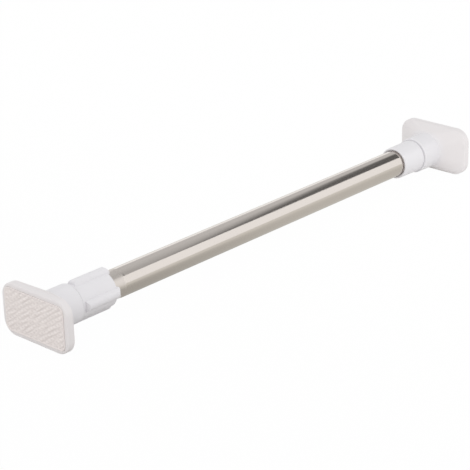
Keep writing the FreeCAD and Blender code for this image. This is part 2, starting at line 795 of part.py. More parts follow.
doc.recompute()
for thing in doc.Objects:
    if {"Invalid", "Error"} & set(thing.State):
        raise RuntimeError(f"{thing.Label} failed: {thing.State}")
for piece in pieces:
    if piece.Shape.isNull() or not piece.Shape.isValid():
        raise RuntimeError(f"{piece.Label} has no valid shape")

os.makedirs("parts", exist_ok=True)
for piece in pieces:
    piece.Shape.exportStep(f"parts/{piece.Label}.step")
print(f"{len(pieces)} pieces, {value(total):.2f} mm long")
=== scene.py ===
# Spring tension rod: looks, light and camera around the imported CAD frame.
import math

import bmesh
import bpy
from mathutils import Matrix, Vector


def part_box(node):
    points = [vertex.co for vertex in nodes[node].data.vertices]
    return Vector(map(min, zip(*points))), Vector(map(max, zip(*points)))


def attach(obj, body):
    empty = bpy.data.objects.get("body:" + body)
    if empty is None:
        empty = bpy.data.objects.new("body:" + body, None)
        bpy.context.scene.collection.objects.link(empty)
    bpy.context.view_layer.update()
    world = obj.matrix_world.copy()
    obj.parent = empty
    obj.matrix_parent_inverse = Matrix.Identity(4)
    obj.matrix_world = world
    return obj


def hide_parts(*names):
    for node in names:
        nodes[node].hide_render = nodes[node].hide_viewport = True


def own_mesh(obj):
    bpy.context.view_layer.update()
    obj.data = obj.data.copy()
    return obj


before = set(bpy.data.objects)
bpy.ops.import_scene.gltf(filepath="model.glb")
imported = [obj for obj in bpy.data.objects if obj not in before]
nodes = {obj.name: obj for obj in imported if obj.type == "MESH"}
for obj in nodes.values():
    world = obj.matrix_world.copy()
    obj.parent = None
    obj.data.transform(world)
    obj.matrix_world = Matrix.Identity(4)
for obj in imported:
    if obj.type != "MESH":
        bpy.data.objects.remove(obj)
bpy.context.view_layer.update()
axisZ = 0.02  # the rod lies along X at this height
tiny = 1e-6
mergeDistance = 1e-7
print("frame loaded:", len(nodes), "nodes")


# node tree helpers

def link(tree, value, socket):
    if isinstance(value, bpy.types.NodeSocket):
        tree.links.new(value, socket)
    else:
        socket.default_value = value


def addNode(tree, kind, inputs=None, **settings):
    node = tree.nodes.new(kind)
    for name, value in settings.items():
        setattr(node, name, value)
    for name, value in (inputs or {}).items():
        link(tree, value, node.inputs[name])
    return node


def maths(tree, operation, *values):
    node = addNode(tree, "ShaderNodeMath", operation=operation)
    for place, value in enumerate(values):
        link(tree, value, node.inputs[place])
    return node.outputs[0]


def smoothStep(tree, value, low, high, start=0.0, stop=1.0):
    inputs = {"Value": value, "From Min": low, "From Max": high, "To Min": start, "To Max": stop}
    return addNode(tree, "ShaderNodeMapRange", inputs, interpolation_type="SMOOTHSTEP").outputs["Result"]


# geometry node helpers: a tree with named inputs, its ending, and its use on a mesh

def newTree(name, inputs):
    tree = bpy.data.node_groups.new(name, "GeometryNodeTree")
    tree.interface.new_socket("Geometry", in_out="OUTPUT", socket_type="NodeSocketGeometry")
    tree.interface.new_socket("Geometry", in_out="INPUT", socket_type="NodeSocketGeometry")
    for label, value in inputs.items():
        kind = "NodeSocketInt" if isinstance(value, int) else "NodeSocketFloat"
        tree.interface.new_socket(label, in_out="INPUT", socket_type=kind)
    tree.interface.new_socket("Finish", in_out="INPUT", socket_type="NodeSocketMaterial")
    return tree, tree.nodes.new("NodeGroupInput").outputs


def endTree(tree, given, geometry):
    whole = addNode(tree, "GeometryNodeRealizeInstances", {"Geometry": geometry})
    inputs = {"Geometry": whole.outputs[0], "Material": given["Finish"]}
    painted = addNode(tree, "GeometryNodeSetMaterial", inputs)
    addNode(tree, "NodeGroupOutput", {"Geometry": painted.outputs[0]})


def applyTree(blank, tree, inputs, finish):
    modifier = blank.modifiers.new(tree.name, "NODES")
    modifier.node_group = tree
    values = dict(inputs, Finish=finish)
    for item in tree.interface.items_tree:
        if item.in_out == "INPUT" and item.name in values:
            modifier[item.identifier] = values[item.name]
    graph = bpy.context.evaluated_depsgraph_get()
    mesh = bpy.data.meshes.new_from_object(blank.evaluated_get(graph))
    blank.modifiers.remove(modifier)
    mesh.name = blank.name
    blank.data = mesh
    mesh.shade_smooth()
    return blank


def newPiece(name, mesh):
    piece = bpy.data.objects.new(name, mesh)
    bpy.context.scene.collection.objects.link(piece)
    return piece


def meshFrom(name, work):
    bmesh.ops.remove_doubles(work, verts=work.verts, dist=mergeDistance)
    bmesh.ops.recalc_face_normals(work, faces=work.faces)
    mesh = bpy.data.meshes.new(name)
    work.to_mesh(mesh)
    work.free()
    return mesh


# finishes

noiseSpan = (0.3, 0.7)  # most of a noise lies in this range
fineDetail = 3.0
plasticIor = 1.49


def newFinish(name):
    finish = bpy.data.materials.new(name)
    finish.use_nodes = True
    return finish, *finishParts(finish)


def finishParts(finish):
    tree = finish.node_tree
    shader = tree.nodes["Principled BSDF"]
    place = addNode(tree, "ShaderNodeTexCoord").outputs["Object"]
    return tree, shader, place


def noise(tree, place, scale, detail=2.0, stretch=None):
    if stretch:
        place = addNode(tree, "ShaderNodeMapping", {"Vector": place, "Scale": stretch}).outputs["Vector"]
    inputs = {"Vector": place, "Scale": scale, "Detail": detail}
    return addNode(tree, "ShaderNodeTexNoise", inputs).outputs["Fac"]


def tintMix(tree, amount, first, second):
    node = addNode(tree, "ShaderNodeMix", {"Factor": amount}, data_type="RGBA")
    for colour, socket in ((first, node.inputs[6]), (second, node.inputs[7])):  # colours A and B
        link(tree, colour + (1.0,) if isinstance(colour, tuple) else colour, socket)
    return node.outputs[2]


def grain(tree, shader, height, strength, distance):
    inputs = {"Height": height, "Strength": strength, "Distance": distance}
    bump = addNode(tree, "ShaderNodeBump", inputs)
    tree.links.new(bump.outputs["Normal"], shader.inputs["Normal"])


def mouldedPlastic(name, look):
    finish, tree, shader, place = newFinish(name)
    cloud = noise(tree, place, look["cloudScale"], fineDetail)
    link(tree, tintMix(tree, cloud, look["tint"], look["shadeTint"]), shader.inputs["Base Color"])
    low, high = look["roughness"]
    link(tree, smoothStep(tree, cloud, *noiseSpan, low, high), shader.inputs["Roughness"])
    speckle = noise(tree, place, look["grainScale"])
    grain(tree, shader, speckle, look["grainStrength"], look["grainDepth"])
    shader.inputs["IOR"].default_value = plasticIor
    return finish


def drawnMetal(name, look):
    finish, tree, shader, place = newFinish(name)
    streak = noise(tree, place, look["streakScale"], fineDetail, look["streakStretch"])
    cloud = noise(tree, place, look["cloudScale"])
    link(tree, tintMix(tree, cloud, look["tint"], look["shadeTint"]), shader.inputs["Base Color"])
    low, high = look["roughness"]
    link(tree, smoothStep(tree, streak, *noiseSpan, low, high), shader.inputs["Roughness"])
    grain(tree, shader, streak, look["streakStrength"], look["streakDepth"])
    shader.inputs["Metallic"].default_value = 1.0
    return finish


plasticLooks = {
    "whitePlastic": {
        "tint": (0.81, 0.798, 0.82), "shadeTint": (0.785, 0.772, 0.793), "cloudScale": 28.0,
        "roughness": (0.34, 0.44), "grainScale": 2600.0, "grainStrength": 0.12,
        "grainDepth": 2e-5},
    "guidePlastic": {
        "tint": (0.62, 0.61, 0.59), "shadeTint": (0.56, 0.55, 0.53), "cloudScale": 60.0,
        "roughness": (0.36, 0.5), "grainScale": 1800.0, "grainStrength": 0.2,
        "grainDepth": 3e-5},
    "lockPlastic": {
        "tint": (0.075, 0.075, 0.08), "shadeTint": (0.055, 0.055, 0.06), "cloudScale": 60.0,
        "roughness": (0.4, 0.55), "grainScale": 1500.0, "grainStrength": 0.3,
        "grainDepth": 4e-5},
}
metalLooks = {
    "polishedSteel": {
        "tint": (0.79, 0.735, 0.69), "shadeTint": (0.76, 0.705, 0.66), "cloudScale": 9.0,
        "roughness": (0.1, 0.17), "streakScale": 260.0, "streakStretch": (0.02, 1.0, 1.0),
        "streakStrength": 0.08, "streakDepth": 2e-5},
    "platedSteel": {
        "tint": (0.66, 0.66, 0.65), "shadeTint": (0.57, 0.57, 0.58), "cloudScale": 120.0,
        "roughness": (0.22, 0.36), "streakScale": 500.0, "streakStretch": (1.0, 1.0, 1.0),
        "streakStrength": 0.15, "streakDepth": 2e-5},
    "springSteel": {
        "tint": (0.5, 0.5, 0.5), "shadeTint": (0.42, 0.41, 0.41), "cloudScale": 90.0,
        "roughness": (0.25, 0.4), "streakScale": 700.0, "streakStretch": (1.0, 1.0, 1.0),
        "streakStrength": 0.2, "streakDepth": 2e-5},
}
finishes = {name: mouldedPlastic(name, look) for name, look in plasticLooks.items()}
finishes.update({name: drawnMetal(name, look) for name, look in metalLooks.items()})

# The tube's left end is worked to a satin, with a soft ring where the polish starts.
swageLook = {"reach": 0.0315, "blend": 0.0016, "roughness": 0.36, "ringWidth": 0.0014,
             "ringStrength": 0.16, "ringDepth": 0.0004}


def workedEnd(finish, look):
    tree, shader, place = finishParts(finish)
    along = addNode(tree, "ShaderNodeSeparateXYZ", {"Vector": place}).outputs["X"]
    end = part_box("outer_tube")[0].x + look["reach"]
    worked = smoothStep(tree, along, end - look["blend"], end, 1.0, 0.0)
    polish = shader.inputs["Roughness"].links[0].from_socket
    extra = maths(tree, "SUBTRACT", look["roughness"], polish)
    link(tree, maths(tree, "MULTIPLY_ADD", worked, extra, polish), shader.inputs["Roughness"])
    fromRing = maths(tree, "ABSOLUTE", maths(tree, "SUBTRACT", along, end))
    ring = smoothStep(tree, fromRing, 0.0, look["ringWidth"], 1.0, 0.0)
    inputs = {"Height": ring, "Strength": look["ringStrength"], "Distance": look["ringDepth"],
              "Normal": shader.inputs["Normal"].links[0].from_socket}
    link(tree, addNode(tree, "ShaderNodeBump", inputs).outputs["Normal"], shader.inputs["Normal"])


finishes["tubeSteel"] = drawnMetal("tubeSteel", metalLooks["polishedSteel"])
workedEnd(finishes["tubeSteel"], swageLook)

# The feet's plates are a little warmer than their necks.
plateLook = {"tint": (0.798, 0.767, 0.77), "neckDepth": 0.0175, "plateDepth": 0.0125}


def warmPlates(finish, look):
    tree, shader, place = finishParts(finish)
    along = addNode(tree, "ShaderNodeSeparateXYZ", {"Vector": place}).outputs["X"]
    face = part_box("right_foot")[1].x
    neckEnd, plateStart = face - look["neckDepth"], face - look["plateDepth"]
    share = smoothStep(tree, maths(tree, "ABSOLUTE", along), neckEnd, plateStart)
    plain = shader.inputs["Base Color"].links[0].from_socket
    link(tree, tintMix(tree, share, plain, look["tint"]), shader.inputs["Base Color"])


finishes["footPlastic"] = mouldedPlastic("footPlastic", plasticLooks["whitePlastic"])
warmPlates(finishes["footPlastic"], plateLook)

# the groove colour is darker than the crest colour: painted shade in the pad's grooves
padLook = {"crest": (0.925, 0.865, 0.845), "groove": (0.72, 0.663, 0.643),
           "cloudScale": 300.0, "cloudShare": 0.3, "roughness": (0.62, 0.78),
           "ribWidth": 0.0013, "ribHeight": 0.00087, "speckleScale": 3500.0, "speckleShare": 0.5,
           "grainStrength": 0.55, "grainDepth": 1e-4}


# The pad's colour follows the depth that its emboss stored on the mesh: deeper spots get a darker colour,
# painted shade in the grooves.
def embossedRubber(name, look):
    finish, tree, shader, place = newFinish(name)
    depth = addNode(tree, "ShaderNodeAttribute", attribute_name="groove").outputs["Fac"]
    cloud = noise(tree, place, look["cloudScale"], fineDetail)
    blotch = maths(tree, "MULTIPLY_ADD", cloud, look["cloudShare"], -look["cloudShare"] / 2)
    amount = maths(tree, "ADD", depth, blotch)
    amount.node.use_clamp = True
    link(tree, tintMix(tree, amount, look["crest"], look["groove"]), shader.inputs["Base Color"])
    low, high = look["roughness"]
    link(tree, smoothStep(tree, cloud, *noiseSpan, low, high), shader.inputs["Roughness"])
    along = addNode(tree, "ShaderNodeSeparateXYZ", {"Vector": place}).outputs
    across = maths(tree, "DIVIDE", along["Y"], look["ribWidth"])
    rise = maths(tree, "DIVIDE", along["Z"], look["ribHeight"])
    ribs = [maths(tree, "PINGPONG", maths(tree, way, across, rise), 0.5) for way in ("ADD", "SUBTRACT")]
    speckle = noise(tree, place, look["speckleScale"], fineDetail)
    speckle = maths(tree, "MULTIPLY", speckle, look["speckleShare"])
    height = maths(tree, "ADD", speckle, maths(tree, "ADD", *ribs))  # fine crossing ribs
    grain(tree, shader, height, look["grainStrength"], look["grainDepth"])
    return finish


finishes["gripPad"] = embossedRubber("gripPad", padLook)

nodeFinish = {
    "left_foot": "footPlastic", "right_foot": "footPlastic", "adjusting_knob": "whitePlastic",
    "tube_collar": "whitePlastic", "outer_tube": "tubeSteel", "inner_tube": "polishedSteel",
    "spindle_guide": "guidePlastic", "knob_bush": "guidePlastic", "mouth_bush": "guidePlastic",
    "inner_end_plug": "guidePlastic", "spring_seat": "guidePlastic", "thrust_washer": "guidePlastic",
    "lock_core": "lockPlastic", "lock_ring": "lockPlastic", "plunger_rod": "platedSteel",
    "stop_nut": "platedSteel", "stop_washer": "platedSteel", "spindle_screw": "platedSteel",
    "spindle_washer": "platedSteel", "swivel_screw": "platedSteel", "swivel_washer": "platedSteel",
    "left_grip_pad": "gripPad", "right_grip_pad": "gripPad", "adjusting_spindle": "guidePlastic",
    "tension_spring": "springSteel",
}
for name, finishName in nodeFinish.items():
    slots = nodes[name].data.materials
    slots.clear()
    slots.append(finishes[finishName])
print("finishes:", len(finishes))


# grip pads: a rounded blank, embossed with crossing grooves by a node tree

padSettings = {"corner": 0.0045, "cornerParts": 24, "edgeRound": 0.0004, "edgeTurns": (30, 60, 90),
               "step": 0.00036, "columns": 520}
embossInputs = {
    "cellWidth": 0.006, "cellHeight": 0.004, "grooveWidth": 0.0028,
    "risingDepth": 0.00026, "fallingDepth": 0.00022, "rimWidth": 0.0007,
    "waver": 0.3, "waverScale": 0.6, "streakLength": 0.01, "streakWidth": 0.0023, "streakDepth": 0.0003,
    "streakShift": 0.25, "streakSpread": 0.25, "rimShade": 0.45,
    "faceX": 0.0, "outward": 1.0, "axisHeight": axisZ,
}


# Points round a rounded rectangle, evenly spaced, as (y, z) about its middle.
def roundedLoop(width, height, corner, parts, count):
    runs = [Vector((width / 2, 0.0))]  # starts on the mirror line, so that both halves match
    halfY, halfZ = width / 2 - corner, height / 2 - corner
    centres = [(halfY, halfZ, 0), (-halfY, halfZ, 90), (-halfY, -halfZ, 180), (halfY, -halfZ, 270)]
    for y, z, start in centres:
        for part in range(parts + 1):
            angle = math.radians(start + 90 * part / parts)
            runs.append(Vector((y + corner * math.cos(angle), z + corner * math.sin(angle))))
    runs.append(runs[0])
    lengths = [(b - a).length for a, b in zip(runs, runs[1:])]
    total, points, place, run = sum(lengths), [], 0.0, 0
    for index in range(count):
        wanted = total * index / count
        while place + lengths[run] < wanted:
            place += lengths[run]
            run += 1
        points.append(runs[run].lerp(runs[run + 1], (wanted - place) / lengths[run]))
    return points


# The face is drawn as loops that close on the blank's own middle line, so that it has no seam.
def padBlank(node, outward):
    low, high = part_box(node)
    width, height = high.y - low.y, high.z - low.z
    faceX, backX = (high.x, low.x) if outward > 0 else (low.x, high.x)
    settings = padSettings
    loop = roundedLoop(width, height, settings["corner"], settings["cornerParts"], settings["columns"])
    spine = (width - height) / 2
    rows = []
    steps = round(height / 2 / settings["step"])
    edge = settings["edgeRound"]
    for step in range(steps + 1):
        share = step / steps * (1 - 2 * edge / height)
        middle = [Vector((max(-spine, min(spine, p.x)), 0.0)) for p in loop]
        rows.append([(faceX, m.lerp(p, share)) for m, p in zip(middle, loop)])
    for turn in settings["edgeTurns"]:  # the rounded edge between face and side
        angle = math.radians(turn)
        inset = edge * (1 - math.sin(angle))
        scaleY, scaleZ = 1 - 2 * inset / width, 1 - 2 * inset / height
        x = faceX - outward * edge * (1 - math.cos(angle))
        rows.append([(x, Vector((p.x * scaleY, p.y * scaleZ))) for p in loop])
    rows.append([(backX, p) for p in loop])
    work = bmesh.new()
    inset = work.verts.layers.float.new("inset")
    grid = []
    for row in rows:
        grid.append([work.verts.new((x, p.x, axisZ + p.y)) for x, p in row])
    for index, row in enumerate(grid[:steps + 1]):
        for vert in row:
            vert[inset] = height / 2 * (1 - index / steps)
    for first, second in zip(grid, grid[1:]):
        for index in range(len(first)):
            after = (index + 1) % len(first)
            work.faces.new((first[index], first[after], second[after], second[index]))
    work.faces.new(grid[-1])
    return newPiece(node.replace("grip_pad", "pad_embossed"), meshFrom(node, work)), faceX


def padEmboss():
    tree, given = newTree("padEmboss", embossInputs)
    spot = addNode(tree, "GeometryNodeInputPosition").outputs[0]
    along = addNode(tree, "ShaderNodeSeparateXYZ", {"Vector": spot}).outputs
    across = maths(tree, "DIVIDE", along["Y"], given["cellWidth"])
    up = maths(tree, "SUBTRACT", along["Z"], given["axisHeight"])
    rise = maths(tree, "DIVIDE", up, given["cellHeight"])
    diagonal = maths(tree, "SQRT", maths(tree, "ADD", maths(tree, "POWER", given["cellWidth"], -2.0),
                                         maths(tree, "POWER", given["cellHeight"], -2.0)))
    halfGroove = maths(tree, "MULTIPLY", given["grooveWidth"], 0.5)
    rising = maths(tree, "ADD", across, rise)
    falling = maths(tree, "SUBTRACT", across, rise)
    cells = addNode(tree, "ShaderNodeCombineXYZ", {"X": falling, "Y": rising}).outputs[0]
    drift = maths(tree, "SUBTRACT", noise(tree, cells, given["waverScale"], 1.0), 0.5)
    depths = []
    for line, depth in ((rising, "risingDepth"), (falling, "fallingDepth")):
        wavy = maths(tree, "MULTIPLY_ADD", drift, given["waver"], line)
        fold = maths(tree, "PINGPONG", wavy, 0.5)
        away = maths(tree, "DIVIDE", fold, diagonal)  # distance from the nearest groove line
        valley = smoothStep(tree, away, 0.0, halfGroove, 1.0, 0.0)
        depths.append(maths(tree, "MULTIPLY", valley, given[depth]))
    # short uneven streaks along the rising grooves, as the difference of two shifted noises
    lean = maths(tree, "ARCTAN2", given["cellHeight"], given["cellWidth"])
    inputs = {"Vector": spot, "Angle": lean}
    leant = addNode(tree, "ShaderNodeVectorRotate", inputs, rotation_type="X_AXIS")
    lie = addNode(tree, "ShaderNodeSeparateXYZ", {"Vector": leant.outputs[0]}).outputs
    streakX = maths(tree, "DIVIDE", lie["Y"], given["streakLength"])
    streakY = maths(tree, "DIVIDE", lie["Z"], given["streakWidth"])
    layers = []
    for way in ("ADD", "SUBTRACT"):
        shifted = maths(tree, way, streakY, given["streakShift"])
        streakSpot = addNode(tree, "ShaderNodeCombineXYZ", {"X": streakX, "Y": shifted}).outputs[0]
        layers.append(noise(tree, streakSpot, 1.0))
    uneven = maths(tree, "SUBTRACT", *layers)
    lowest = maths(tree, "MULTIPLY", given["streakSpread"], -1.0)
    streak = smoothStep(tree, uneven, lowest, given["streakSpread"], 0.0, given["streakDepth"])
    inset = addNode(tree, "GeometryNodeInputNamedAttribute", {"Name": "inset"}, data_type="FLOAT")
    rim = smoothStep(tree, inset.outputs[0], 0.0, given["rimWidth"])
    fromFace = maths(tree, "ABSOLUTE", maths(tree, "SUBTRACT", along["X"], given["faceX"]))
    onFace = maths(tree, "MULTIPLY", rim, maths(tree, "LESS_THAN", fromFace, tiny))
    depth = maths(tree, "ADD", maths(tree, "MAXIMUM", *depths), streak)
    push = maths(tree, "MULTIPLY", maths(tree, "MULTIPLY", depth, onFace), given["outward"])
    offset = addNode(tree, "ShaderNodeCombineXYZ", {"X": maths(tree, "MULTIPLY", push, -1.0)}).outputs[0]
    # the stored share darkens the pad's colour in the grooves as painted shade; rim and sides keep the
    # fixed share rimShade
    deepest = maths(tree, "ADD", given["risingDepth"], given["streakDepth"])
    shade = maths(tree, "SUBTRACT", maths(tree, "DIVIDE", depth, deepest), given["rimShade"])
    share = maths(tree, "MULTIPLY_ADD", shade, onFace, given["rimShade"])
    kept = addNode(tree, "GeometryNodeStoreNamedAttribute",
                   {"Geometry": given["Geometry"], "Name": "groove", "Value": share}, domain="POINT")
    moved = addNode(tree, "GeometryNodeSetPosition", {"Geometry": kept.outputs[0], "Offset": offset})
    endTree(tree, given, moved.outputs[0])
    return tree


embossTree = padEmboss()
for node, body, outward in (("left_grip_pad", "left_foot", -1.0), ("right_grip_pad", "right_foot", 1.0)):
    pad, faceX = padBlank(node, outward)
    applyTree(pad, embossTree, dict(embossInputs, faceX=faceX, outward=outward), finishes["gripPad"])
    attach(pad, body)
    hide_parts(node)
    print("grip pad:", pad.name, len(pad.data.polygons), "faces")


# adjusting spindle: a turned blank whose shank gets its screw thread from a node tree

spindleSettings = {"noseLength": 0.0047, "noseRadius": 0.005, "holeRadius": 0.00202, "holeDepth": 0.0163,
                   "tipChamfer": 0.0012, "columns": 72, "rows": 170}
threadInputs = {"pitch": 0.004, "depth": 0.001, "crest": 0.00695, "flat": 0.0055, "runout": 0.003,
                "rootShare": 0.12, "crestShare": 0.36, "coreRadius": 0.005,
                "shankStart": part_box("left_foot")[1].x, "axisHeight": axisZ}


def turnedBlank(name, profile, columns):
    work = bmesh.new()
    rows = []
    for x, radius in profile:
        if radius == 0:
            rows.append([work.verts.new((x, 0, axisZ))])
            continue
        turns = [2 * math.pi * index / columns for index in range(columns)]
        spots = [(x, radius * math.sin(turn), axisZ + radius * math.cos(turn)) for turn in turns]
        rows.append([work.verts.new(spot) for spot in spots])
    for first, second in zip(rows, rows[1:]):
        for index in range(columns):
            after = (index + 1) % columns
            corners = [first[index % len(first)], first[after % len(first)],
                       second[after % len(second)], second[index % len(second)]]
            work.faces.new(list(dict.fromkeys(corners)))
    return newPiece(name, meshFrom(name, work))


def spindleThread():
    tree, given = newTree("spindleThread", threadInputs)
    spot = addNode(tree, "GeometryNodeInputPosition").outputs[0]
    along = addNode(tree, "ShaderNodeSeparateXYZ", {"Vector": spot}).outputs
    up = maths(tree, "SUBTRACT", along["Z"], given["axisHeight"])
    sideways = maths(tree, "MULTIPLY", along["Y"], along["Y"])
    radius = maths(tree, "SQRT", maths(tree, "MULTIPLY_ADD", up, up, sideways))
    angle = maths(tree, "ARCTAN2", maths(tree, "MULTIPLY", along["Y"], -1.0), up)
    turn = maths(tree, "DIVIDE", angle, 2 * math.pi)
    fromStart = maths(tree, "SUBTRACT", along["X"], given["shankStart"])
    phase = maths(tree, "SUBTRACT", maths(tree, "DIVIDE", fromStart, given["pitch"]), turn)
    fold = maths(tree, "PINGPONG", phase, 0.5)
    valley = smoothStep(tree, fold, given["rootShare"], given["crestShare"], 1.0, 0.0)
    fade = smoothStep(tree, fromStart, 0.0, given["runout"])
    onShank = maths(tree, "MULTIPLY", maths(tree, "GREATER_THAN", fromStart, tiny),
                    maths(tree, "GREATER_THAN", radius, given["coreRadius"]))
    full = maths(tree, "MULTIPLY", valley, given["depth"])
    cut = maths(tree, "MULTIPLY", full, maths(tree, "MULTIPLY", fade, onShank))
    kept = maths(tree, "MINIMUM", radius, given["crest"])
    remains = maths(tree, "SUBTRACT", kept, cut)
    shrink = maths(tree, "DIVIDE", remains, maths(tree, "MAXIMUM", radius, tiny))
    factor = maths(tree, "MULTIPLY_ADD", maths(tree, "SUBTRACT", shrink, 1.0), onShank, 1.0)
    flatUp = maths(tree, "MULTIPLY", up, factor)
    level = maths(tree, "MINIMUM", flatUp, given["flat"])
    newUp = maths(tree, "MULTIPLY_ADD", maths(tree, "SUBTRACT", level, flatUp), onShank, flatUp)
    place = addNode(tree, "ShaderNodeCombineXYZ", {
        "X": along["X"], "Y": maths(tree, "MULTIPLY", along["Y"], factor),
        "Z": maths(tree, "ADD", newUp, given["axisHeight"])}).outputs[0]
    moved = addNode(tree, "GeometryNodeSetPosition", {"Geometry": given["Geometry"], "Position": place})
    endTree(tree, given, moved.outputs[0])
    return tree


def threadedSpindle(s):
    crest, shank = threadInputs["crest"], threadInputs["shankStart"]
    low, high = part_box("adjusting_spindle")
    head, tip, spigot = low.x, high.x, (high.y - low.y) / 2
    nose, holeEnd = head + s["noseLength"], head + s["holeDepth"]
    hole, noseRadius = s["holeRadius"], s["noseRadius"]
    profile = [(holeEnd, 0), (holeEnd, hole), (head, hole), (head, noseRadius),
               (nose, noseRadius), (nose, spigot), (shank, spigot), (shank, crest)]
    length = tip - s["tipChamfer"] - shank
    profile += [(shank + length * row / s["rows"], crest) for row in range(1, s["rows"] + 1)]
    profile += [(tip, crest - s["tipChamfer"]), (tip, 0)]
    return turnedBlank("spindle_threaded", profile, s["columns"])


spindle = threadedSpindle(spindleSettings)
applyTree(spindle, spindleThread(), threadInputs, finishes["guidePlastic"])
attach(spindle, "left_foot")
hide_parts("adjusting_spindle")
print("spindle:", len(spindle.data.polygons), "faces")


# mouth lip: a plain ring inside the collar's mouth, just clear of the tube

lipSettings = {"setBack": 0.0011, "length": 0.0012, "inside": 0.01112, "outside": 0.01193, "columns": 96}


def mouthLip(s):
    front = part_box("tube_collar")[0].x + s["setBack"]
    back = front + s["length"]
    profile = [(front, s["inside"]), (front, s["outside"]), (back, s["outside"]), (back, s["inside"]),
               (front, s["inside"])]
    return turnedBlank("mouth_lip", profile, s["columns"])


lip = mouthLip(lipSettings)
lip.data.materials.append(finishes["whitePlastic"])
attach(lip, "inner_tube")
print("mouth lip:", len(lip.data.polygons), "faces")


# tension spring: a closed-end coil swept along a line that a node tree winds up

springInputs = {"start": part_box("stop_washer")[1].x, "length": 0.06, "wire": 0.0014, "coilRadius": 0.0076,
                "turns": 12.0, "closedTurns": 1.0, "points": 420, "sides": 10, "axisHeight": axisZ}


def coilSpring():
    tree, given = newTree("coilSpring", springInputs)
    line = addNode(tree, "GeometryNodeCurvePrimitiveLine")
    inputs = {"Curve": line.outputs[0], "Count": given["points"]}
    divided = addNode(tree, "GeometryNodeResampleCurve", inputs)
    share = addNode(tree, "GeometryNodeSplineParameter").outputs["Factor"]
    turn = maths(tree, "MULTIPLY", share, given["turns"])
    bothClosed = maths(tree, "MULTIPLY", given["closedTurns"], 2.0)
    openTurns = maths(tree, "SUBTRACT", given["turns"], bothClosed)
    span = maths(tree, "SUBTRACT", given["length"], given["wire"])
    closed = maths(tree, "MULTIPLY", given["closedTurns"], given["wire"])
    openSpan = maths(tree, "SUBTRACT", span, maths(tree, "MULTIPLY", closed, 2.0))
    pitch = maths(tree, "DIVIDE", openSpan, openTurns)
    lastTurn = maths(tree, "SUBTRACT", given["turns"], given["closedTurns"])

    def part(begin, most, rate):  # how far the wire has climbed in one stretch of turns
        past = maths(tree, "MAXIMUM", maths(tree, "SUBTRACT", turn, begin), 0.0)
        return maths(tree, "MULTIPLY", maths(tree, "MINIMUM", past, most), rate)

    firstClosed = part(0.0, given["closedTurns"], given["wire"])
    lastClosed = part(lastTurn, given["closedTurns"], given["wire"])
    climb = maths(tree, "ADD", firstClosed, part(given["closedTurns"], openTurns, pitch))
    climb = maths(tree, "ADD", climb, lastClosed)
    begin = maths(tree, "MULTIPLY_ADD", given["wire"], 0.5, given["start"])
    angle = maths(tree, "MULTIPLY", turn, 2 * math.pi)
    cosine = maths(tree, "COSINE", angle)
    spot = addNode(tree, "ShaderNodeCombineXYZ", {
        "X": maths(tree, "ADD", begin, climb),
        "Y": maths(tree, "MULTIPLY", maths(tree, "SINE", angle), given["coilRadius"]),
        "Z": maths(tree, "MULTIPLY_ADD", cosine, given["coilRadius"], given["axisHeight"])})
    inputs = {"Geometry": divided.outputs[0], "Position": spot.outputs[0]}
    wound = addNode(tree, "GeometryNodeSetPosition", inputs)
    inputs = {"Resolution": given["sides"], "Radius": maths(tree, "MULTIPLY", given["wire"], 0.5)}
    section = addNode(tree, "GeometryNodeCurvePrimitiveCircle", inputs)
    inputs = {"Curve": wound.outputs[0], "Profile Curve": section.outputs[0], "Fill Caps": True}
    swept = addNode(tree, "GeometryNodeCurveToMesh", inputs)
    endTree(tree, given, swept.outputs[0])
    return tree


spring = newPiece("spring_coil", bpy.data.meshes.new("spring_coil"))
applyTree(spring, coilSpring(), springInputs, finishes["springSteel"])
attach(spring, "lock_core")
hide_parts("tension_spring")
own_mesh(spring)
print("spring:", len(spring.data.polygons), "faces")


# studio: pale floor that shows a painted reflection to the metal, white surroundings, soft lamps, and a
# dark card that the metal reflects

studio = {"floorSize": 8.0, "floorLeft": (0.72, 0.71, 0.7), "floorRight": (0.97, 0.965, 0.96),
          "floorAlong": (-0.25, 0.25), "cameraWhite": 0.985, "ambient": 0.87,
          # the next values paint the floor's reflection in the metal, darker near the rod and towards the
          # left as painted shadow
          "reflectionTint": (1.0, 0.985, 0.93), "reflectionShadowLeft": 0.45, "reflectionShadowRight": 0.6, "reflectionLitFar": 0.72,
          "reflectionShadowAlong": (-0.15, 0.1), "reflectionShadowAcross": (0.02, 0.12)}
lamps = {
    "keyLamp": {"place": (-1.6, -2.0, 3.0), "size": 2.5, "power": 9.0},
    "endLamp": {"place": (-3.0, -0.4, 0.9), "size": 1.6, "power": 10.0},
    "fillLamp": {"place": (0.2, -0.6, 0.15), "size": 0.4, "power": 0.5},
}
cardSettings = {"height": 1.02, "x": (-3.0, 3.0), "y": (-0.62, 2.6), "dark": 0.125, "light": 0.47,
                "grey": 0.6, "fadeX": (0.74, 1.04), "wedgeX": (0.9, 1.22),
                "fadeStart": (-0.5, 0.16), "fadeEnd": (0.5, 0.52)}


def mixShaders(tree, amount, first, second):
    mixed = addNode(tree, "ShaderNodeMixShader", {"Fac": amount})
    tree.links.new(first.outputs[0], mixed.inputs[1])
    tree.links.new(second.outputs[0], mixed.inputs[2])
    return mixed


def whiteWorld(s):
    world = bpy.data.worlds.new("whiteWorld")
    world.use_nodes = True
    tree = world.node_tree
    tree.nodes.clear()
    plainWhite = (1.0, 1.0, 1.0, 1.0)
    soft = addNode(tree, "ShaderNodeBackground", {"Color": plainWhite, "Strength": s["ambient"]})
    white = addNode(tree, "ShaderNodeBackground", {"Color": plainWhite, "Strength": 1.0})
    path = addNode(tree, "ShaderNodeLightPath").outputs
    seen = maths(tree, "MAXIMUM", path["Is Camera Ray"], path["Is Glossy Ray"])
    seen = maths(tree, "MAXIMUM", seen, path["Is Transmission Ray"])
    mixed = mixShaders(tree, seen, soft, white)
    addNode(tree, "ShaderNodeOutputWorld", {"Surface": mixed.outputs[0]})
    bpy.context.scene.world = world


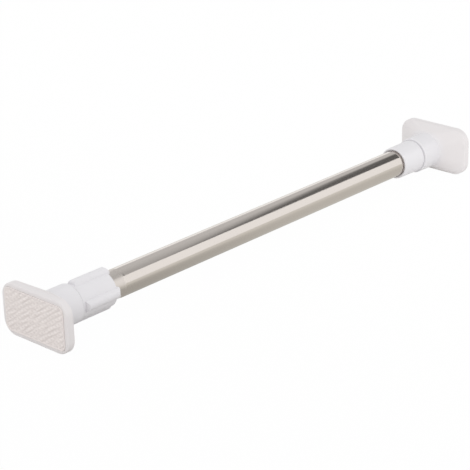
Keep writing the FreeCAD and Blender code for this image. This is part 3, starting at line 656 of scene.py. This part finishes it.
def paleFloor(s):
    half = s["floorSize"] / 2
    mesh = bpy.data.meshes.new("floor")
    corners = [(-half, -half, 0), (half, -half, 0), (half, half, 0), (-half, half, 0)]
    mesh.from_pydata(corners, [], [(0, 1, 2, 3)])
    floor = newPiece("floor", mesh)
    finish = bpy.data.materials.new("paleFloor")
    finish.use_nodes = True
    tree = finish.node_tree
    tree.nodes.clear()
    place = addNode(tree, "ShaderNodeTexCoord").outputs["Object"]
    along = addNode(tree, "ShaderNodeSeparateXYZ", {"Vector": place}).outputs
    share = smoothStep(tree, along["X"], *s["floorAlong"])
    tint = tintMix(tree, share, s["floorLeft"], s["floorRight"])
    plain = addNode(tree, "ShaderNodeBsdfDiffuse", {"Color": tint})
    white = addNode(tree, "ShaderNodeEmission", {"Strength": 1.0})
    # For glossy rays the floor shows a painted reflection: an emission whose tone is darker close to the
    # rod, a painted shadow, and darker towards the left.
    shadowedNear = smoothStep(tree, along["X"], *s["reflectionShadowAlong"], s["reflectionShadowLeft"], s["reflectionShadowRight"])
    aside = maths(tree, "ABSOLUTE", along["Y"])
    tone = smoothStep(tree, aside, *s["reflectionShadowAcross"], shadowedNear, s["reflectionLitFar"])
    paintedReflection = addNode(tree, "ShaderNodeEmission", {"Color": s["reflectionTint"] + (1.0,), "Strength": tone})
    path = addNode(tree, "ShaderNodeLightPath").outputs
    seen = maths(tree, "MAXIMUM", path["Is Camera Ray"], path["Is Transmission Ray"])
    mixed = mixShaders(tree, maths(tree, "MULTIPLY", seen, s["cameraWhite"]), plain, white)
    mixed = mixShaders(tree, path["Is Glossy Ray"], mixed, paintedReflection)
    addNode(tree, "ShaderNodeOutputMaterial", {"Surface": mixed.outputs[0]})
    mesh.materials.append(finish)


# The card hangs over the rod and is seen only in reflections.
def darkCard(s):
    (x0, x1), (y0, y1), z = s["x"], s["y"], s["height"]
    mesh = bpy.data.meshes.new("darkCard")
    mesh.from_pydata([(x0, y0, z), (x0, y1, z), (x1, y1, z), (x1, y0, z)], [], [(0, 1, 2, 3)])
    card = newPiece("darkCard", mesh)
    finish = bpy.data.materials.new("cardFade")
    finish.use_nodes = True
    tree = finish.node_tree
    tree.nodes.clear()
    place = addNode(tree, "ShaderNodeTexCoord").outputs["Object"]
    along = addNode(tree, "ShaderNodeSeparateXYZ", {"Vector": place}).outputs
    aside = maths(tree, "ABSOLUTE", along["X"])
    front = smoothStep(tree, aside, *s["fadeX"], s["light"], s["dark"])
    fadeStart = smoothStep(tree, aside, *s["wedgeX"], *s["fadeStart"])
    fadeEnd = smoothStep(tree, aside, *s["wedgeX"], *s["fadeEnd"])
    tone = smoothStep(tree, along["Y"], fadeStart, fadeEnd, front, s["grey"])
    glow = addNode(tree, "ShaderNodeEmission", {"Strength": tone})
    addNode(tree, "ShaderNodeOutputMaterial", {"Surface": glow.outputs[0]})
    mesh.materials.append(finish)
    for ray in ("camera", "diffuse", "transmission", "volume_scatter", "shadow"):
        setattr(card, "visible_" + ray, False)


def softLamp(name, s):
    data = bpy.data.lights.new(name, "AREA")
    data.size = s["size"]
    data.energy = s["power"]
    lamp = bpy.data.objects.new(name, data)
    lamp.location = s["place"]
    lamp.rotation_euler = (-Vector(s["place"])).to_track_quat("-Z", "Y").to_euler()
    lamp.visible_glossy = False
    bpy.context.scene.collection.objects.link(lamp)


whiteWorld(studio)
paleFloor(studio)
darkCard(cardSettings)
for name, settings in lamps.items():
    softLamp(name, settings)
bpy.context.scene.view_settings.view_transform = "Standard"
print("studio set")


# camera, fitted to the photograph's 470 by 470 frame

cameraFit = {"focalPixels": 1723.3, "imageWidth": 470, "sensorWidth": 36, "azimuth": -46.598,
             "elevation": 22.265, "roll": -1.606, "shiftRight": -0.000289, "shiftUp": -0.00246,
             "distance": 1.319343, "target": (-0.02705, 0.0, 0.02), "clip": (0.01, 50)}


def photoCamera(s):
    azimuth, elevation, roll = (math.radians(s[key]) for key in ("azimuth", "elevation", "roll"))
    back = Vector((math.sin(azimuth) * math.cos(elevation), -math.cos(azimuth) * math.cos(elevation),
                   math.sin(elevation)))
    level = Vector((math.cos(azimuth), math.sin(azimuth), 0))
    rise = back.cross(level)
    right = math.cos(roll) * level + math.sin(roll) * rise
    up = -math.sin(roll) * level + math.cos(roll) * rise
    place = Vector(s["target"]) + back * s["distance"] + right * s["shiftRight"] + up * s["shiftUp"]
    data = bpy.data.cameras.new("photoCamera")
    data.sensor_width = s["sensorWidth"]
    data.lens = s["focalPixels"] / s["imageWidth"] * data.sensor_width
    data.clip_start, data.clip_end = s["clip"]
    camera = bpy.data.objects.new("photoCamera", data)
    turn = Matrix((right, up, back)).transposed().to_4x4()
    camera.matrix_world = Matrix.Translation(place) @ turn
    bpy.context.scene.collection.objects.link(camera)
    bpy.context.scene.camera = camera


photoCamera(cameraFit)
print("camera set")
